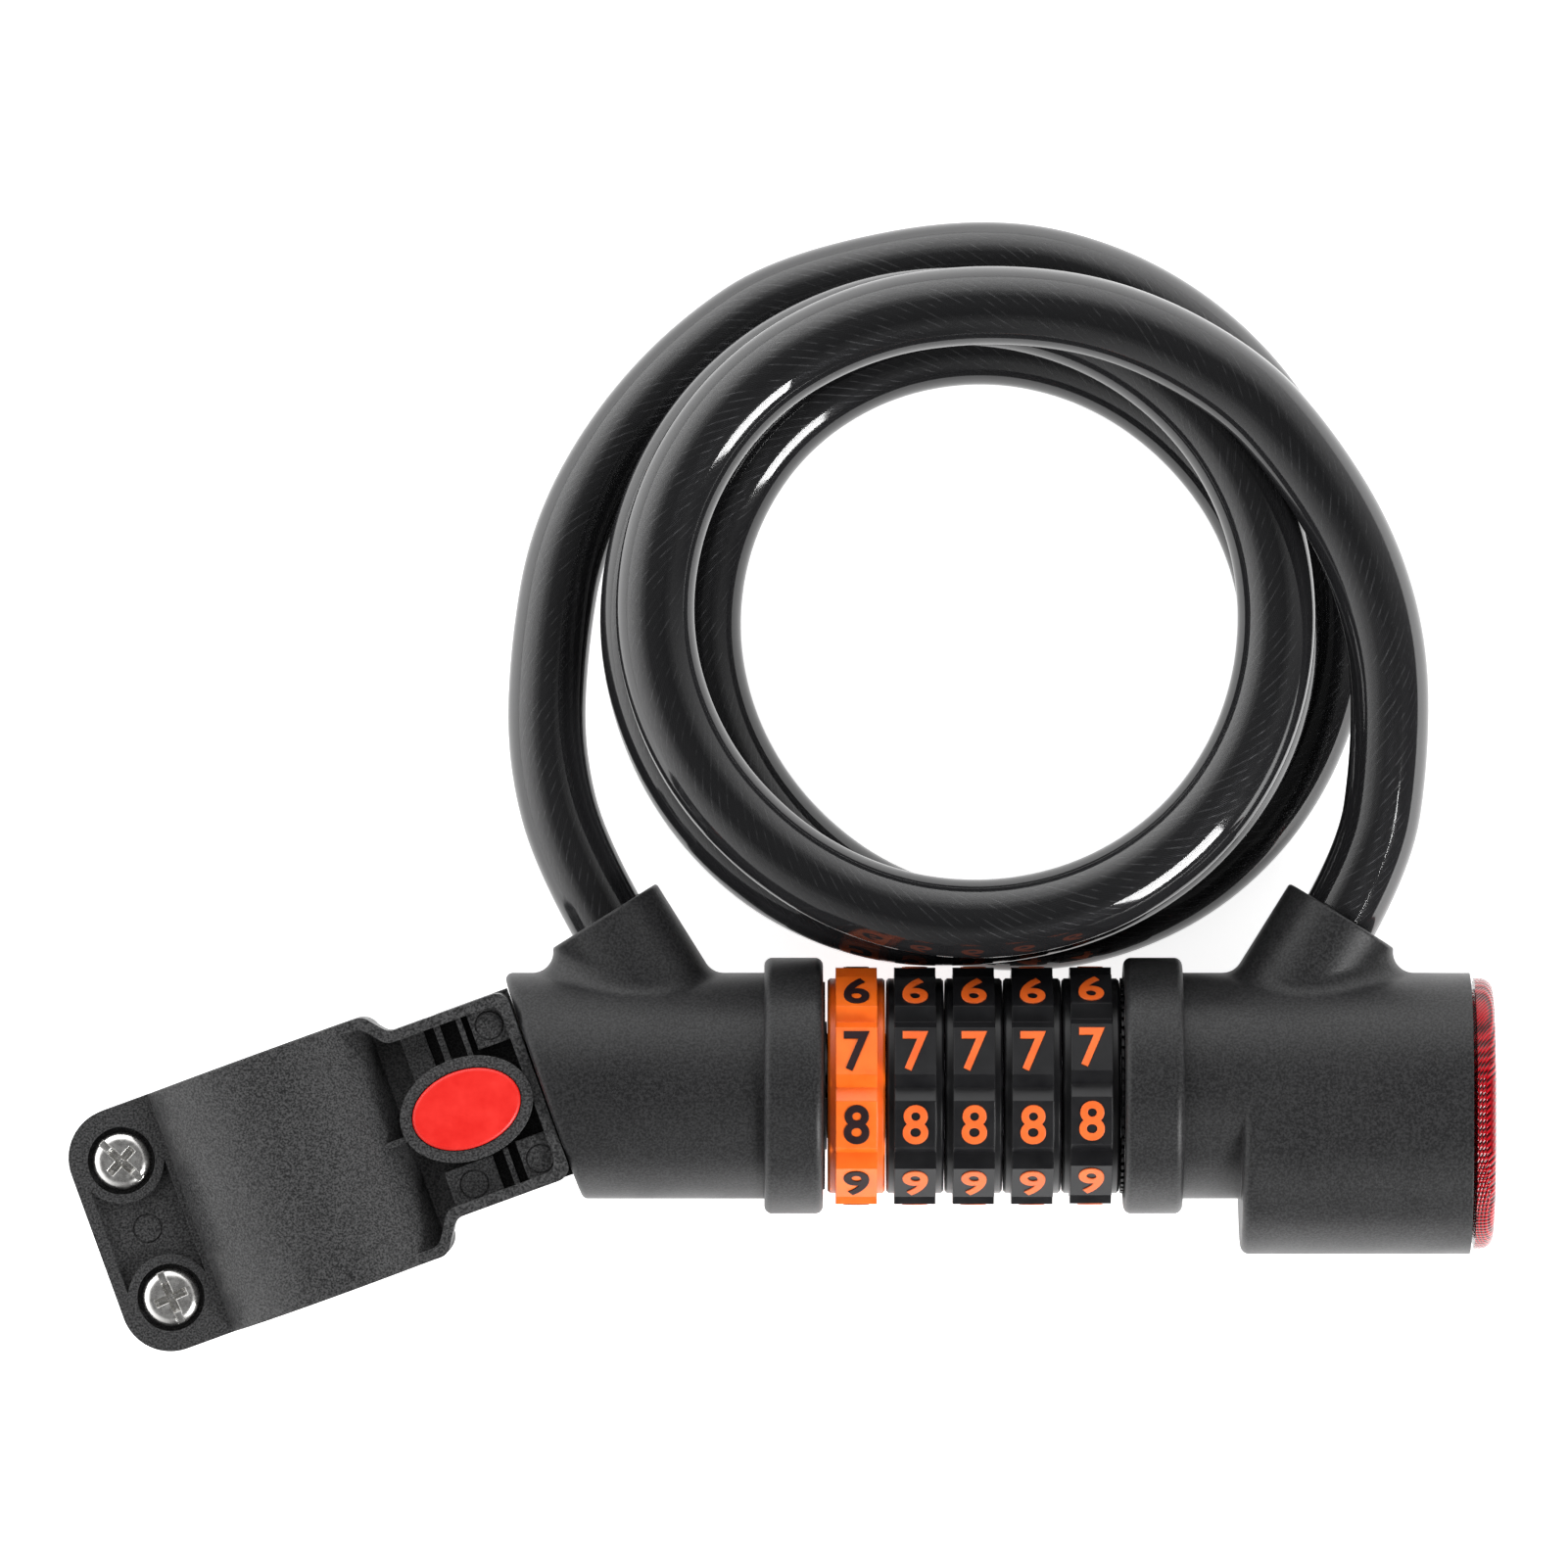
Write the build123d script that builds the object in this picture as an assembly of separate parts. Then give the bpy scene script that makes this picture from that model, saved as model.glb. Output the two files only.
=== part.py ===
from build123d import *
import math
import os

# A five-dial cable lock with a tail light and a seat post bracket, in millimetres.
# It is modelled with the lock's axis along X, the middle dial at the origin and the lock lying
# on its collars. At the end everything is moved so that the origin is the bottom centre of
# the lock and its bracket, without the cable.

# Lock body
BARREL_R = 17.3
COLLAR_R = 19.6
COLLAR_WIDTH = 9.0
COLLAR_EDGE = 1.2
STACK_GAP = 0.6  # between the dial stack and each collar
BODY_INSET = 0.5  # how far each collar stands past its housing's end
CAVITY_R = 14.3
END_TILT = 19.5  # degrees between the plug's slanted end and a square one
PLUG_END_X = -65.8  # where the slanted end crosses the axis
BRACKET_TILT = 20.0  # degrees between the bracket and the lock's axis
BRACKET_X = -65.3  # where the bracket's own frame starts on the lock's axis
BRACKET_SHIFT = -0.4  # how far the bracket stands off the axis, across it
END_EDGE = 1.0
LAMP_EDGE = 1.4
BOSS_EDGE = 0.5
LOCK_END_X = 76.0
LAMP_START_X = 40.9
LAMP_DROP = 8.5  # how much deeper the lamp end reaches than the barrel

# Dials
DIALS = 5
DIGITS = 10
PITCH = 8.95
DIAL_GAP = 0.2
DIAL_BASE_R = 16.45
PAD_FACE_R = 18.05
PAD_FACE_HALF = 3.76
PAD_SLOPE = 1.18
PAD_WIDTH = 6.3
DIAL_BORE_R = 11.5
KEY_R = 12.4
KEY_HALF = 1.1
FIRST_PAD_ANGLE = 18.0
LAST_DIAL_OFFSET = 2.0  # the last dial is stored slightly off its click

# Dial core, code rings and pin
CORE_R = 8.0
CORE_TAIL_R = 5.5
CORE_TAIL_END = 36.0
FLANGE_START_X = 24.2
FLANGE_SEAT_X = 27.4
NUT_SEAT_X = 31.5
NUT_ACROSS_FLATS = 15.0
NUT_THICKNESS = 4.0
PIN_R = 3.2
PIN_ROOT_X = -44.0
PIN_TIP_X = 33.0
PLUG_CAVITY_END_X = -53.0
LOCK_ANCHOR_X = 41.0
LEAF_TOP = -6.4
LEAF_THICKNESS = 0.5
CLICK_TEETH = 60
RUNNING_GAP = 0.05
GROOVE_R = 10.0
GROOVE_HALF = 1.8
FIN_TIP_R = 9.6
FIN_HALF_LENGTH = 1.4
FIN_HALF_WIDTH = 1.2
GATE_HALF = 1.75
CORE_HEAD_R = 9.8
CORE_FLANGE_R = 13.0

# Cable and bosses
CABLE_R = 6.0
BOSS_R = 9.45
BOSS_TILT = 32.0  # degrees from the Y axis, away from the dials
BOSS_MOUTH = (56.5, 26.0)
BOSS_BLEND = 3.2
CABLE_DEPTH = 8.0  # how deep the cable enters the boss
FERRULE_R = 7.2
FERRULE_LENGTH = 12.0

STRAIGHT_LENGTH = 6.4  # how far past the boss's mouth the cable's first run goes

# Cable route outside the coil: hand-chosen points that follow the straight run out of each
# boss, with the dial axis at zero height
PLUG_LEAD = [
    (-65.0, 46.6, -1.6),
    (-67.2, 64.8, -4.6),
    (-63.2, 81.2, -4.6),
]
LOCK_LEAD = [
    (65.0, 45.2, 4.4),
    (66.4, 60.2, 9.4),
    (63.2, 73.4, 9.4),
]

# Coil: the outline of its outside, as (degrees, radius) round its centre
COIL_CENTRE = (2.25, 69.6)
COIL_HOLE_R = 37.6
COIL_TOP = 24.0
COIL_OUTER = [(150, 69.3), (120, 65.8), (90, 62.9), (60, 61.6), (35, 61.4)]
COIL_LOWER = [(-15, 56.4), (-45, 55.8), (-75, 52.7), (-105, 52.9), (-135, 56.2), (-170, 59.0)]
DIAL_CLEARANCE = 0.5
CUT_MARGIN = 0.3

# Lamp
LENS_R = 16.5
LENS_BACK_X = 76.6
LENS_FRONT_X = 79.5
LENS_SKIRT_R = 14.8
LAMP_CAVITY_R = 15.0
LAMP_WALL_X = 62.4
CELL_R = 10.0
CELL_THICKNESS = 3.2

# Bracket, in its own frame: U away from the lock, W across, Z up, from the plug's slanted end
SADDLE_U = 39.6
SADDLE_R = 18.8
SADDLE_WALL = 3.2
LINER_WALL = 1.95
POST_BORE_R = SADDLE_R - SADDLE_WALL - LINER_WALL
SADDLE_HALF = 19.3
SADDLE_CORNER_R = 3.2
SPLIT = 0.4  # half of the gap between the clamp's halves
FLANGE_U = 57.0
FLANGE_END_U = 72.8
FLANGE_TOP = 5.4
FLANGE_CORNER_R = 7.6
POCKET_DEPTH = 1.5
MARK_R = 2.3
MARK_DEPTH = 0.25
SCREW_U = 64.9
SCREW_W = 11.1
SCREW_R = 2.1
SCREW_HOLE_R = 2.7
SCREW_HEAD_R = 4.4
SCREW_HEAD_HEIGHT = 2.7
SCREW_SEAT_R = 5.15
SCREW_SEAT_Z = 3.2
SCREW_TWISTS = (118, 94)  # how far each screw's slot is turned
CROSS_LENGTH = 5.2
CROSS_WIDTH = 1.25
HEAD_START_U = 0.75
HEAD_HALF = 15.1
STEP_U = (19.6, 22.6)
STEP_CORNER_R = 2.2
HEAD_TOP = 14.0
HEAD_FLOOR = 7.5
HEAD_WALL = 1.7
HEAD_SHIFT = -0.6
BUTTON_U = 12.4
BUTTON_AXES = (8.5, 5.95)
BUTTON_TOP = 14.9
BUTTON_RING_TOP = 14.5
BUTTON_UNDERSIDE = 5.6
SPRING_SEAT_Z = 1.6
HINGE_U = 17.2
HINGE_Z = -3.4
HINGE_PIN_R = 1.25
KNUCKLE_R = 3.0
KNUCKLE_HALF = 9.7
TONGUE_LENGTH = 8.0
TONGUE_HALF = 7.0
TONGUE_RISE = 4.0
TONGUE_FIT = 0.15


def block(x0, x1, y0, y1, z0, z1):
    """A box between two corners."""
    low = (Align.MIN, Align.MIN, Align.MIN)
    return Pos(x0, y0, z0) * Box(x1 - x0, y1 - y0, z1 - z0, align=low)


def rod(radius, x0, x1, y=0.0, z=0.0):
    """A cylinder along X."""
    base = (Align.CENTER, Align.CENTER, Align.MIN)
    return Pos(x0, y, z) * Rot(0, 90, 0) * Cylinder(radius, x1 - x0, align=base)


def post(radius, x, y, z0, z1):
    """A cylinder along Z."""
    base = (Align.CENTER, Align.CENTER, Align.MIN)
    return Pos(x, y, z0) * Cylinder(radius, z1 - z0, align=base)


def cross_rod(radius, x, z, y0, y1):
    """A cylinder along Y."""
    base = (Align.CENTER, Align.CENTER, Align.MIN)
    return Pos(x, y0, z) * Rot(-90, 0, 0) * Cylinder(radius, y1 - y0, align=base)


def ring(outer, inner, x0, x1):
    return rod(outer, x0, x1) - rod(inner, x0 - 1, x1 + 1)


def hexagon(across_flats, x0, x1):
    """A six-sided bar along X."""
    profile = Plane.YZ * RegularPolygon(across_flats / 2, 6, major_radius=False)
    return Pos(x0, 0, 0) * extrude(profile, x1 - x0, dir=(1, 0, 0))


def obround(radius, x0, x1):
    """The lamp end's section, a barrel stretched downwards, as a bar along X."""
    middle = block(x0, x1, -LAMP_DROP, 0, -radius, radius)
    return rod(radius, x0, x1) + rod(radius, x0, x1, y=-LAMP_DROP) + middle


def dial_x(number):
    return (number - (DIALS + 1) / 2) * PITCH


def dial_angle(number):
    return LAST_DIAL_OFFSET if number == DIALS else 0.0


def boss_axis(side):
    """The direction in which the cable leaves a boss: side is -1 at the plug, 1 at the lock."""
    tilt = math.radians(BOSS_TILT)
    return Vector(side * math.sin(tilt), math.cos(tilt), 0)


def boss_point(side, distance):
    """A point on a boss's axis, at a distance past its mouth."""
    return Vector(side * BOSS_MOUTH[0], BOSS_MOUTH[1], 0) + boss_axis(side) * distance


def along_boss(radius, side, start, end):
    """A cylinder on a boss's axis, from start to end past its mouth."""
    plane = Plane(origin=boss_point(side, start), z_dir=boss_axis(side))
    return extrude(plane * Circle(radius), end - start)


def boss(side):
    body = along_boss(BOSS_R, side, -24, 0)
    mouth = boss_point(side, 0)
    rim = body.edges().filter_by(GeomType.CIRCLE).sort_by(lambda edge: (edge.arc_center - mouth).length)[0]
    return fillet(rim, BOSS_EDGE)


def blended(body):
    """Rounds the curve where the boss meets the barrel."""
    plain = (GeomType.LINE, GeomType.CIRCLE, GeomType.ELLIPSE)
    seams = body.edges().filter_by(lambda edge: edge.geom_type not in plain and edge.center().Y > 3)
    seams = seams.filter_by(lambda edge: edge.center().X > PLUG_END_X + 6 or edge.center().Y > 14)
    return fillet(seams, BOSS_BLEND)


# Lock body -----------------------------------------------------------------


def plug_inner_x():
    return -(DIALS * PITCH / 2 + STACK_GAP)


def slanted_cut():
    """Everything left of the plug's slanted end."""
    big = 60
    return Pos(PLUG_END_X, 0, 0) * Rot(0, 0, END_TILT) * block(-big, 0, -big, big, -big, big)


def bracket_place():
    return Pos(BRACKET_X, 0, 0) * Rot(0, 0, 180 + BRACKET_TILT) * Pos(0, BRACKET_SHIFT, 0)


def plug_housing():
    end_x = plug_inner_x() - BODY_INSET
    outside = rod(BARREL_R, PLUG_END_X - 14, end_x) - slanted_cut()
    outside = fillet(outside.faces().sort_by(Axis.X)[0].edges(), END_EDGE)
    outside = blended(outside + boss(-1))
    outside = outside - rod(CAVITY_R, PLUG_CAVITY_END_X, end_x + 1)
    outside = outside - along_boss(CABLE_R + RUNNING_GAP, -1, -CABLE_DEPTH, 1)
    outside = outside - along_boss(FERRULE_R, -1, -CABLE_DEPTH - FERRULE_LENGTH, -CABLE_DEPTH)
    fit = TONGUE_FIT
    socket = block(
        -TONGUE_LENGTH - 0.5, 1, -TONGUE_HALF - fit, TONGUE_HALF + fit, -TONGUE_RISE - fit, TONGUE_RISE + fit
    )
    tooth_way = block(-TONGUE_LENGTH - 0.5, 1, -3.3, 3.3, 0, 6.8)
    return outside - bracket_place() * (socket + tooth_way)


def lock_housing():
    start_x = -plug_inner_x() + BODY_INSET
    outside = blended(rod(BARREL_R, start_x, LOCK_END_X - LAMP_EDGE) + boss(1))
    lamp = obround(BARREL_R, LAMP_START_X, LOCK_END_X)
    outside = outside + fillet(lamp.faces().sort_by(Axis.X)[0].edges(), LAMP_EDGE)
    outside = outside - rod(CORE_FLANGE_R + RUNNING_GAP, start_x - 1, FLANGE_SEAT_X + 0.1)
    outside = outside - rod(CORE_TAIL_R + RUNNING_GAP, FLANGE_SEAT_X, NUT_SEAT_X + 0.5)
    outside = outside - rod(CAVITY_R, NUT_SEAT_X, LAMP_WALL_X)
    outside = outside - obround(LAMP_CAVITY_R, LAMP_WALL_X, LOCK_END_X + 1)
    outside = outside - along_boss(CABLE_R + RUNNING_GAP, 1, -CABLE_DEPTH, 1)
    return outside - along_boss(FERRULE_R, 1, -CABLE_DEPTH - FERRULE_LENGTH, -CABLE_DEPTH)


def collar(side):
    """The raised ring at a housing's dial end."""
    inner_x = plug_inner_x()
    band = ring(COLLAR_R, BARREL_R, inner_x - COLLAR_WIDTH, inner_x)
    rims = band.edges().filter_by(GeomType.CIRCLE).filter_by(lambda e: e.radius > COLLAR_R - 0.1)
    band = fillet(rims, COLLAR_EDGE)
    return band if side < 0 else mirror(band, about=Plane.YZ)


def plug_seal():
    inner_x = plug_inner_x()
    return ring(15.9, CORE_HEAD_R + 0.4, inner_x - BODY_INSET, inner_x + 0.3)


def ferrule(side):
    return along_boss(FERRULE_R, side, -CABLE_DEPTH - FERRULE_LENGTH, -CABLE_DEPTH)


def pin_anchor():
    """The cast block that holds the pin's root and the cable's ferrule."""
    body = rod(CAVITY_R, PLUG_CAVITY_END_X, plug_inner_x() - BODY_INSET) - rod(PIN_R, PIN_ROOT_X, 0)
    body = body - rod(FIN_TIP_R + 0.5, plug_inner_x() - BODY_INSET - 0.6, 0)
    return body - ferrule(-1)


def cable_anchor():
    body = rod(CAVITY_R, LOCK_ANCHOR_X, LAMP_WALL_X - 0.4)
    return body - ferrule(1)


# Dials, core and pin -------------------------------------------------------


def number_pad():
    """One raised pad, with its face towards +Z."""
    foot_r = DIAL_BASE_R - 0.8
    slope = PAD_SLOPE * (PAD_FACE_R - foot_r) / (PAD_FACE_R - DIAL_BASE_R)
    outline = Polygon(
        (-PAD_FACE_HALF, PAD_FACE_R),
        (PAD_FACE_HALF, PAD_FACE_R),
        (PAD_FACE_HALF + slope, foot_r),
        (-PAD_FACE_HALF - slope, foot_r),
        align=None,
    )
    return extrude(Plane.YZ * outline, PAD_WIDTH / 2, both=True)


def turned(shape, degrees):
    """Turns a shape about the lock's axis, from +Z towards +Y."""
    return Rot(-degrees, 0, 0) * shape


def dial(number):
    half = (PITCH - DIAL_GAP) / 2
    body = ring(DIAL_BASE_R, DIAL_BORE_R, -half, half)
    rims = body.edges().filter_by(GeomType.CIRCLE).filter_by(lambda e: e.radius > DIAL_BASE_R - 0.1)
    body = chamfer(rims, 0.35)
    step = 360 / DIGITS
    key_way = block(-half - 1, half + 1, -KEY_HALF, KEY_HALF, DIAL_BORE_R - 1, KEY_R)
    for place in range(DIGITS):
        body = body + turned(number_pad(), FIRST_PAD_ANGLE + place * step)
        body = body - turned(key_way, place * step)
    return Pos(dial_x(number), 0, 0) * turned(body, dial_angle(number))


def code_ring(number):
    """The ring keyed inside a dial. Its gate lets the pin's fin through, at +Z."""
    half = (PITCH - DIAL_GAP) / 2
    body = ring(DIAL_BORE_R, CORE_R + RUNNING_GAP, -half, half) - rod(GROOVE_R, -GROOVE_HALF, GROOVE_HALF)
    body = body - block(-half - 1, half + 1, -GATE_HALF, GATE_HALF, 0, GROOVE_R)
    key = block(-half, half, -KEY_HALF, KEY_HALF, DIAL_BORE_R - 0.3, KEY_R)
    for place in (72, 252):
        body = body + turned(key, place)
    return Pos(dial_x(number), 0, 0) * turned(body, dial_angle(number))


def dial_core():
    """The tube that the dials turn on, slotted at +Z for the pin's fins."""
    stack_end = DIALS * PITCH / 2
    body = rod(CORE_R, -stack_end, FLANGE_SEAT_X) + rod(CORE_HEAD_R, -stack_end - 0.4, -stack_end)
    body = body + rod(CORE_FLANGE_R, FLANGE_START_X, FLANGE_SEAT_X)
    body = body + rod(CORE_TAIL_R, FLANGE_SEAT_X, CORE_TAIL_END)
    body = body - rod(PIN_R + RUNNING_GAP, -stack_end - 1, 40)
    body = body - block(-stack_end - 1, stack_end, -GATE_HALF, GATE_HALF, 0, CORE_R + 4)
    return body - block(-stack_end + 1.4, stack_end - 0.6, -1.7, 1.7, -CORE_R - 1, LEAF_TOP)


def click_spring():
    """The leaf in the core's channel, with one bump under each code ring."""
    leaf = block(-20.6, 21.4, -1.5, 1.5, LEAF_TOP - LEAF_THICKNESS, LEAF_TOP)
    for number in range(1, DIALS + 1):
        leaf = leaf + Pos(dial_x(number) + 3.0, 0, LEAF_TOP - 0.6) * Sphere(0.9)
    return leaf & block(-21, 22, -2, 2, -9, LEAF_TOP)


def click_ring():
    """The thin ring with fine teeth that the stack runs against."""
    body = ring(15.9, CORE_FLANGE_R + 0.1, DIALS * PITCH / 2 + 0.1, -plug_inner_x() - 0.05)
    tooth = block(DIALS * PITCH / 2 + 0.1, -plug_inner_x() - 0.05, -0.45, 0.45, 15.6, 16.5)
    for place in range(CLICK_TEETH):
        body = body + turned(tooth, place * 360 / CLICK_TEETH)
    return body


def core_nut():
    return hexagon(NUT_ACROSS_FLATS, NUT_SEAT_X, NUT_SEAT_X + NUT_THICKNESS) - rod(CORE_TAIL_R, 31, 36)


def locking_pin():
    """The bolt, with one fin in each code ring's groove."""
    body = rod(PIN_R, PIN_ROOT_X, PIN_TIP_X)
    body = chamfer(body.edges().sort_by(Axis.X)[-1], 1.0)
    for number in range(1, DIALS + 1):
        x = dial_x(number)
        fin = block(x - FIN_HALF_LENGTH, x + FIN_HALF_LENGTH, -FIN_HALF_WIDTH, FIN_HALF_WIDTH, 0, FIN_TIP_R)
        body = body + fin
    return body


# Lamp ----------------------------------------------------------------------


def lens():
    """The red cover, a shallow cup that is also the lamp's push switch."""
    cap = obround(LENS_R, LENS_BACK_X, LENS_FRONT_X)
    cap = fillet(cap.faces().sort_by(Axis.X)[-1].edges(), 1.9)
    skirt = obround(LENS_SKIRT_R, LENS_BACK_X - 1.6, LENS_BACK_X + 0.5)
    hollow = obround(LENS_SKIRT_R - 1.3, LENS_BACK_X - 3, LENS_FRONT_X - 1.4)
    stem = rod(1.5, LENS_BACK_X - 1.6, LENS_FRONT_X - 1)
    return cap + skirt - hollow + stem


def light_tray():
    plate = obround(LAMP_CAVITY_R - RUNNING_GAP, LAMP_WALL_X, LAMP_WALL_X + 1.6)
    rim = obround(LAMP_CAVITY_R - RUNNING_GAP, LAMP_WALL_X + 1.6, LAMP_WALL_X + 9.2)
    return plate + rim - obround(LAMP_CAVITY_R - 1.4, LAMP_WALL_X + 1.6, LAMP_WALL_X + 10)


def battery_cells():
    start = LAMP_WALL_X + 1.7
    middle_y = -LAMP_DROP / 2
    cells = []
    for place in range(2):
        x = start + place * (CELL_THICKNESS + 0.05)
        cells.append(rod(CELL_R, x, x + CELL_THICKNESS, y=middle_y))
    return Part() + cells


def battery_contact():
    x = LAMP_WALL_X + 1.7 + 2 * CELL_THICKNESS + 0.1
    return block(x, x + 0.3, -LAMP_DROP / 2 - 7, -LAMP_DROP / 2 + 7, -3, 3)


def board_x():
    return LAMP_WALL_X + 9.3


def led_board():
    return obround(LAMP_CAVITY_R - 1.6, board_x(), board_x() + 1.0)


def leds():
    x = board_x() + 1.0
    lamps = [rod(1.6, x, x + 1.5, y=y) for y in (8.0, -7.0, -18.0)]
    return Part() + lamps


def light_switch():
    x = board_x() + 1.0
    return block(x, x + 1.2, -2.6, 2.6, -2.6, 2.6) + rod(1.2, x + 1.2, x + 1.7)


# Bracket, drawn in its own frame -------------------------------------------


def half_space(upper, gap):
    big = 80
    return block(-big, big, -big, big, gap, big) if upper else block(-big, big, -big, big, -big, -gap)


def screw_places():
    return [(SCREW_U, -SCREW_W), (SCREW_U, SCREW_W)]


def saddle(upper):
    """Half of the clamp's shell with its screw flange."""
    plan = block(SADDLE_U - SADDLE_R, FLANGE_END_U, -SADDLE_HALF, SADDLE_HALF, -SADDLE_R, SADDLE_R)
    plan = fillet(plan.edges().filter_by(Axis.Z).group_by(Axis.X)[0], SADDLE_CORNER_R)
    shell = cross_rod(SADDLE_R, SADDLE_U, 0, -SADDLE_HALF, SADDLE_HALF) & plan
    z0, z1 = (0, FLANGE_TOP) if upper else (-FLANGE_TOP, 0)
    flange = block(FLANGE_U - 2, FLANGE_END_U, -SADDLE_HALF, SADDLE_HALF, z0, z1)
    corners = flange.edges().filter_by(Axis.Z).group_by(Axis.X)[-1]
    return (shell + fillet(corners, FLANGE_CORNER_R)) & half_space(upper, SPLIT)


def clamp_bore():
    return cross_rod(SADDLE_R - SADDLE_WALL, SADDLE_U, 0, -SADDLE_HALF - 9, SADDLE_HALF + 9)


def ejector_mark(u, w, z):
    """The shallow round groove that an ejector pin leaves in a moulded face."""
    return post(MARK_R, u, w, z - MARK_DEPTH, z) - post(MARK_R - 0.3, u, w, z - 1, z + 1)


def flange_pocket():
    """The shallow waisted recess between the two screws."""
    top = FLANGE_TOP
    floor = top - POCKET_DEPTH
    pocket = block(FLANGE_U + 1.6, FLANGE_END_U - 1.9, -9.5, 9.5, floor, top + 1)
    for u, w in screw_places():
        pocket = pocket - post(SCREW_SEAT_R + 1.4, u, w, floor - 1, top + 2)
    return pocket + ejector_mark(SCREW_U - 0.2, 0, floor)


def head_outline(inset):
    """The ribbed head's plan, narrower than the saddle, stepping out to meet it."""
    half = HEAD_HALF - inset
    wide = SADDLE_HALF - inset
    start = HEAD_START_U + inset
    low, high = [u + inset / 2 for u in STEP_U]
    points = [
        (start, HEAD_SHIFT - half),
        (low, HEAD_SHIFT - half),
        (high, -wide),
        (29.0, -wide),
        (29.0, wide),
        (high, wide),
        (low, HEAD_SHIFT + half),
        (start, HEAD_SHIFT + half),
    ]
    outline = make_face(Polyline(*points, close=True))
    corners = outline.vertices().filter_by(lambda corner: corner.X < 28)
    return fillet(corners, STEP_CORNER_R)


def button_oval(extra, z0, z1):
    major, minor = BUTTON_AXES
    oval = Pos(BUTTON_U, HEAD_SHIFT, z0) * Ellipse(major + extra, minor + extra)
    return extrude(oval, z1 - z0)


def head_ribs():
    """Ribs and pads in the head, left by its moulding."""
    low = HEAD_FLOOR - 0.5
    start = HEAD_START_U + 1
    top = HEAD_SHIFT - HEAD_HALF + HEAD_WALL - 0.4
    bottom = HEAD_SHIFT + HEAD_HALF - HEAD_WALL + 0.4
    ribs = block(8.6, 9.4, top, -6, low, 12.4) + block(12.0, 13.0, top, -6, low, 12.0)
    ribs = ribs + block(14.6, 18.4, top, -6, low, 11.0) + block(8.6, 9.4, 7, bottom, low, 12.0)
    pads = block(start, 7.6, top, -8.4, low, 12.4) - ejector_mark(4.8, -11.4, 12.4)
    pads = pads + block(start, 7.2, 6.6, bottom, low, 12.4) - ejector_mark(4.4, 10.4, 12.4)
    return ribs + pads + block(11.2, 19.0, 7.4, bottom, low, 11.6) - ejector_mark(15.2, 10.6, 11.6)


def bracket_front():
    head = extrude(head_outline(0), HEAD_TOP - SPLIT) - Pos(0, 0, HEAD_FLOOR - SPLIT) * extrude(
        head_outline(HEAD_WALL), HEAD_TOP
    )
    body = Pos(0, 0, SPLIT) * head + head_ribs()
    near, far = HEAD_SHIFT - HEAD_HALF, HEAD_SHIFT + HEAD_HALF
    body = body + block(HEAD_START_U, 12.4, near, far, -9.0, SPLIT + 0.1)
    body = body + button_oval(1.9, SPLIT, BUTTON_RING_TOP) + saddle(True)
    body = body + block(21.4, 26.0, 0.2, 1.1, 6, 12.8)
    for low, high in ((near, -KNUCKLE_HALF - 0.2), (KNUCKLE_HALF + 0.2, far)):
        body = body + cross_rod(KNUCKLE_R + 0.2, HINGE_U, HINGE_Z, low, high)
        body = body + block(HINGE_U - 3.2, HINGE_U + 3.2, low, high, HINGE_Z, SPLIT + 0.1)
    body = body - clamp_bore() - flange_pocket()
    body = body - cross_rod(HINGE_PIN_R, HINGE_U, HINGE_Z, near - 1, far + 1)
    for u, w in screw_places():
        body = body - post(SCREW_HOLE_R, u, w, -1, 9) - post(SCREW_SEAT_R, u, w, SCREW_SEAT_Z, 9)
    tongue = block(-TONGUE_LENGTH, HEAD_START_U + 0.1, -TONGUE_HALF, TONGUE_HALF, -TONGUE_RISE, TONGUE_RISE)
    channel = block(-TONGUE_LENGTH - 1, 12.6, -3.3, 3.3, -1.8, TONGUE_RISE + 1)
    well = button_oval(0.12, SPRING_SEAT_Z, BUTTON_RING_TOP + 1)
    return body + tongue - channel - well


def release_button():
    """The oval button with the latch arm that hooks into the plug's socket."""
    cap = button_oval(0, BUTTON_UNDERSIDE, BUTTON_TOP)
    cap = fillet(cap.faces().sort_by(Axis.Z)[-1].edges(), 0.5)
    arm = block(-TONGUE_LENGTH + 1.0, BUTTON_U - 2.0, -3.0, 3.0, 1.0, 3.4)
    neck = block(BUTTON_U - 6.0, BUTTON_U - 2.0, -3.0, 3.0, 1.0, 6.0)
    tooth = block(-TONGUE_LENGTH + 1.0, -TONGUE_LENGTH + 3.6, -3.0, 3.0, 1.0, 6.2)
    return cap + arm + neck + tooth


def button_spring():
    """The coil spring under the button."""
    wire_r = 0.3
    coil_r = 1.9
    height = BUTTON_UNDERSIDE - SPRING_SEAT_Z - 2 * wire_r - 0.1
    path = Helix(pitch=height / 2.5, height=height, radius=coil_r)
    section = Plane(origin=path @ 0, z_dir=path % 0) * Circle(wire_r)
    return Pos(BUTTON_U + 2.2, HEAD_SHIFT, SPRING_SEAT_Z + wire_r + 0.05) * sweep(section, path=path)


def bracket_back():
    body = saddle(False)
    web = block(HINGE_U, 26.0, -KNUCKLE_HALF, KNUCKLE_HALF, HINGE_Z - KNUCKLE_R, -SPLIT)
    body = body + cross_rod(KNUCKLE_R, HINGE_U, HINGE_Z, -KNUCKLE_HALF, KNUCKLE_HALF) + web
    body = body - clamp_bore()
    body = body - cross_rod(HINGE_PIN_R + RUNNING_GAP, HINGE_U, HINGE_Z, -KNUCKLE_HALF - 1, KNUCKLE_HALF + 1)
    for u, w in screw_places():
        body = body - post(SCREW_HOLE_R, u, w, -9, 1)
        body = body - Pos(u, w, -2.4) * extrude(RegularPolygon(4.05, 6, major_radius=False), -9)
    return body


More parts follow.
